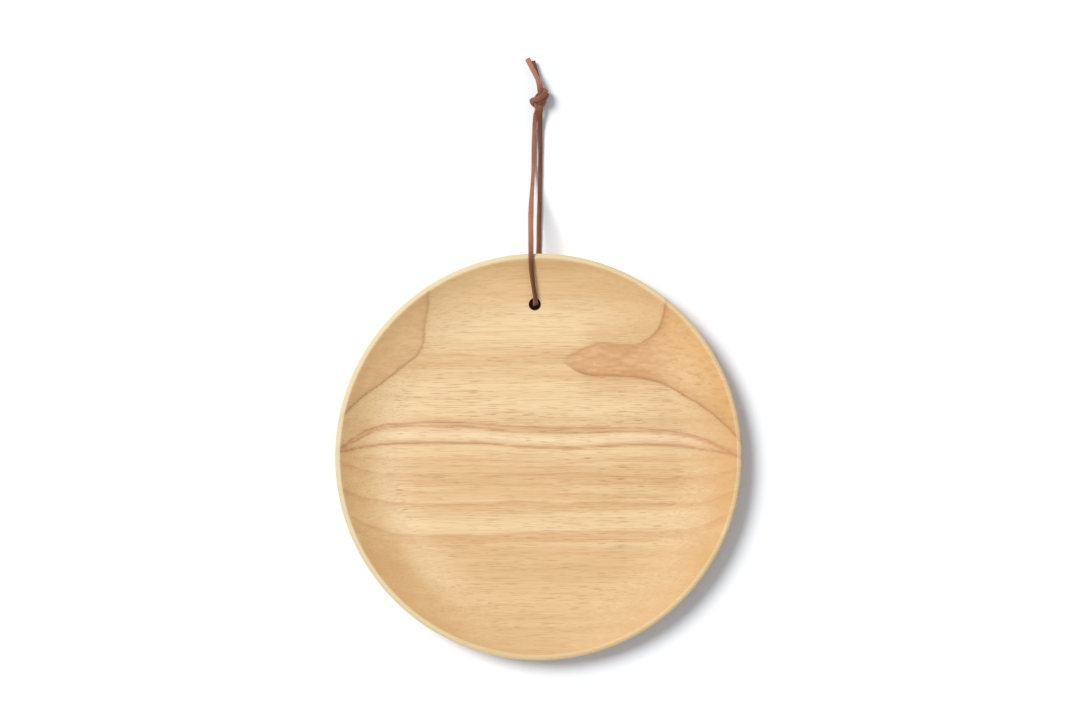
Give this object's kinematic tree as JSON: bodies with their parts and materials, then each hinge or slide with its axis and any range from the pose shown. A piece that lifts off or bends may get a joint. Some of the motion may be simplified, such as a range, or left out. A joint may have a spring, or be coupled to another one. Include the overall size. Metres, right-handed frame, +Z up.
{
  "type": "breakfast board",
  "caption": "Round shallow wooden breakfast board turned from one piece, with a knotted leather lace through a hole near its rim for hanging.",
  "frame": {"origin": "on the table, under the middle of the board's flat foot", "axes": "+Z up out of the hollow, +Y from the middle of the board towards the lace hole, +X to the right seen from above"},
  "size_m": [0.22, 0.3277, 0.021],
  "materials": {
    "wood": "oiled, satin",
    "lace_leather": "matte vegetable-tanned"
  },
  "bodies": {
    "board": {"board": "wood"},
    "lace": {"leather_lace": "lace_leather"}
  },
  "joints": [
    {"name": "lace_swing", "type": "hinge", "parent": "board", "child": "lace", "pos_m": [0, 0.0827, 0.0055], "axis": [0, 0, 1], "range_deg": [-60, 60]}
  ]
}
